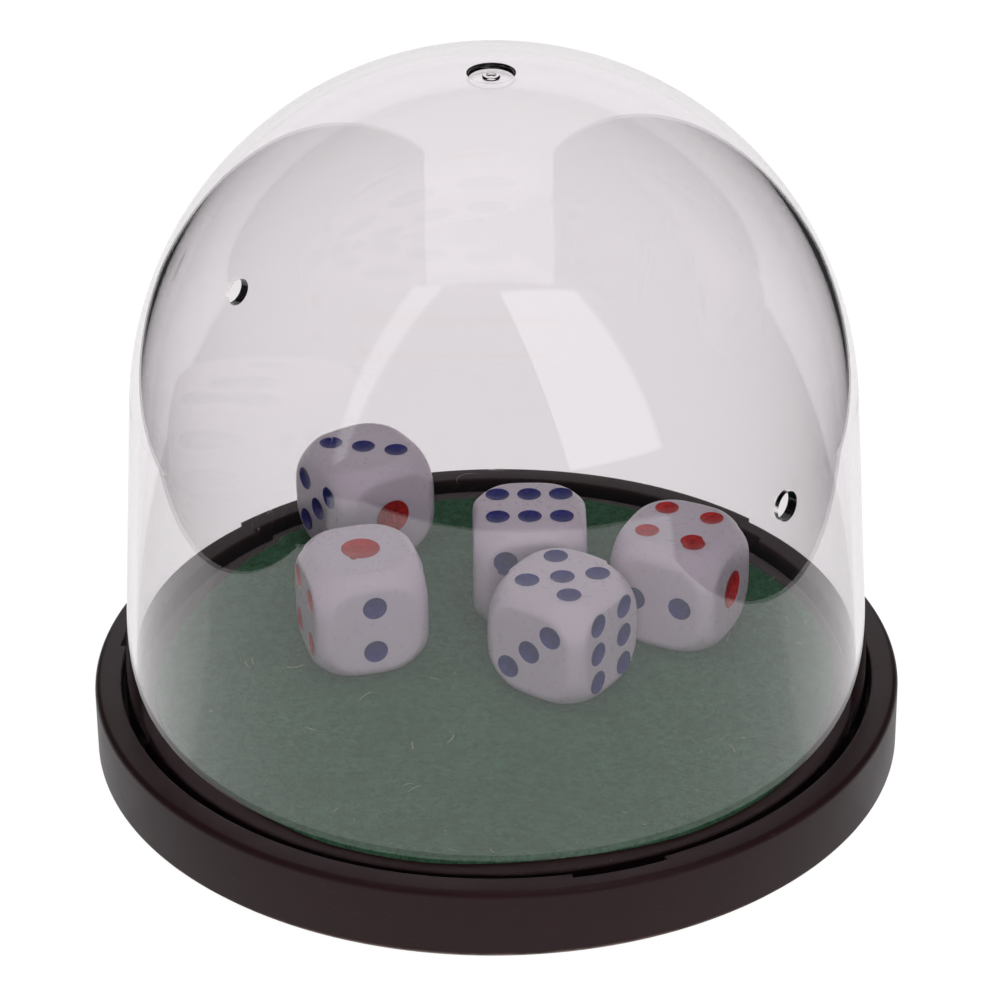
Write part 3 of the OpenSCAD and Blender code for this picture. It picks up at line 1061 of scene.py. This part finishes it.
    def dish_tree(self, **cutters):
        """Sinks one ball into the body at each pip."""
        tree = Tree("Pip dishes", **cutters)
        points = tree.add("GeometryNodeObjectInfo", {}, {"Object": tree.inputs["cutters"]}, "Geometry")
        globe = tree.add("GeometryNodeMeshIcoSphere", {}, {"Radius": 1.0, "Subdivisions": 5}, "Mesh")
        ball = self.named(tree, "ball", "FLOAT")
        size = tree.add("ShaderNodeSeparateXYZ", {}, {0: self.named(tree, "size", "FLOAT_VECTOR")}, "Z")
        out = tree.add(
            "ShaderNodeVectorMath",
            {"operation": "SCALE"},
            {0: self.named(tree, "way", "FLOAT_VECTOR"), "Scale": ball - size},
        )
        moved = tree.add("GeometryNodeSetPosition", {}, {"Geometry": points, "Offset": out})
        balls = tree.add("GeometryNodeInstanceOnPoints", {}, {"Points": moved, "Instance": globe, "Scale": ball})
        real = tree.add("GeometryNodeRealizeInstances", {}, {"Geometry": balls})
        cut = tree.add(
            "GeometryNodeMeshBoolean",
            {"operation": "DIFFERENCE", "solver": "EXACT"},
            {"Mesh 1": tree.geometry, "Mesh 2": real},
            "Mesh",
        )
        tree.finish(cut)
        return tree

    def paint(self, look, values, enamel):
        """A thin lens of enamel in each dish."""
        ob = self.places(look, values)
        lens = self.lens()
        tree = Tree("Pip paint", lens=lens)
        shape = tree.add("GeometryNodeObjectInfo", {}, {"Object": tree.inputs["lens"]}, "Geometry")
        way = self.named(tree, "way", "FLOAT_VECTOR")
        turn = tree.add("FunctionNodeAlignRotationToVector", {"axis": "Z"}, {"Vector": way})
        size = self.named(tree, "size", "FLOAT_VECTOR")
        sockets = {"Points": tree.geometry, "Instance": shape, "Rotation": turn, "Scale": size}
        tree.finish(tree.add("GeometryNodeInstanceOnPoints", {}, sockets))
        tree.apply(ob, enamel)
        bpy.data.objects.remove(lens)
        smooth(ob.data, 50)
        return ob

    def lens(self):
        """A dished disc of unit radius and unit depth: 78% deep above and just under the dish below."""
        around, rings = 40, 9
        rows = [(r, -(1 - r * r) * 0.78) for r in np.linspace(0, 0.975, rings)]
        rows += [(r, -(1 - r * r) * 1.0 - 0.05) for r in np.linspace(0.985, 0, rings)]
        points = [(0, 0, rows[0][1]), (0, 0, rows[-1][1])]
        turns = np.linspace(0, math.tau, around, endpoint=False)
        for r, z in rows[1:-1]:
            points += [(r * math.cos(t), r * math.sin(t), z) for t in turns]
        faces = []
        count = len(rows) - 2
        for j in range(around):
            k = (j + 1) % around
            faces.append((0, 2 + j, 2 + k))
            last = 2 + (count - 1) * around
            faces.append((1, last + k, last + j))
            for i in range(count - 1):
                a = 2 + i * around
                faces.append((a + j, a + around + j, a + around + k, a + k))
        ob = new_object("lens", points, faces)
        face_out(ob.data)
        return ob


class DICECUP_PT_panel(bpy.types.Panel):
    """Sizes, colours and builders of the dice cup"""

    bl_label = "Dice Cup"
    bl_space_type = "VIEW_3D"
    bl_region_type = "UI"
    bl_category = "Dice Cup"

    def draw(self, context):
        for key, (group, operator) in LOOKS.items():
            box = self.layout.box()
            box.operator(operator.bl_idname)
            look = getattr(context.scene, key)
            for name in group.__annotations__:
                box.prop(look, name)


LOOKS = {
    "studio_look": (StudioLook, BuildStudio),
    "tray_look": (TrayLook, BuildTray),
    "felt_look": (FeltLook, BuildFelt),
    "dice_look": (DiceLook, BuildDice),
    "dome_look": (DomeLook, BuildDome),
}


def register():
    for key, (group, operator) in LOOKS.items():
        bpy.utils.register_class(group)
        bpy.utils.register_class(operator)
        setattr(bpy.types.Scene, key, PointerProperty(type=group))
    bpy.utils.register_class(DICECUP_PT_panel)


def unregister():
    bpy.utils.unregister_class(DICECUP_PT_panel)
    for key, (group, operator) in LOOKS.items():
        delattr(bpy.types.Scene, key)
        bpy.utils.unregister_class(operator)
        bpy.utils.unregister_class(group)


def main():
    register()
    bpy.ops.dice_cup.build_studio()
    bpy.ops.dice_cup.build_tray()
    bpy.ops.dice_cup.build_felt()
    bpy.ops.dice_cup.build_dice()
    bpy.ops.dice_cup.build_dome()


if __name__ == "__main__":
    main()
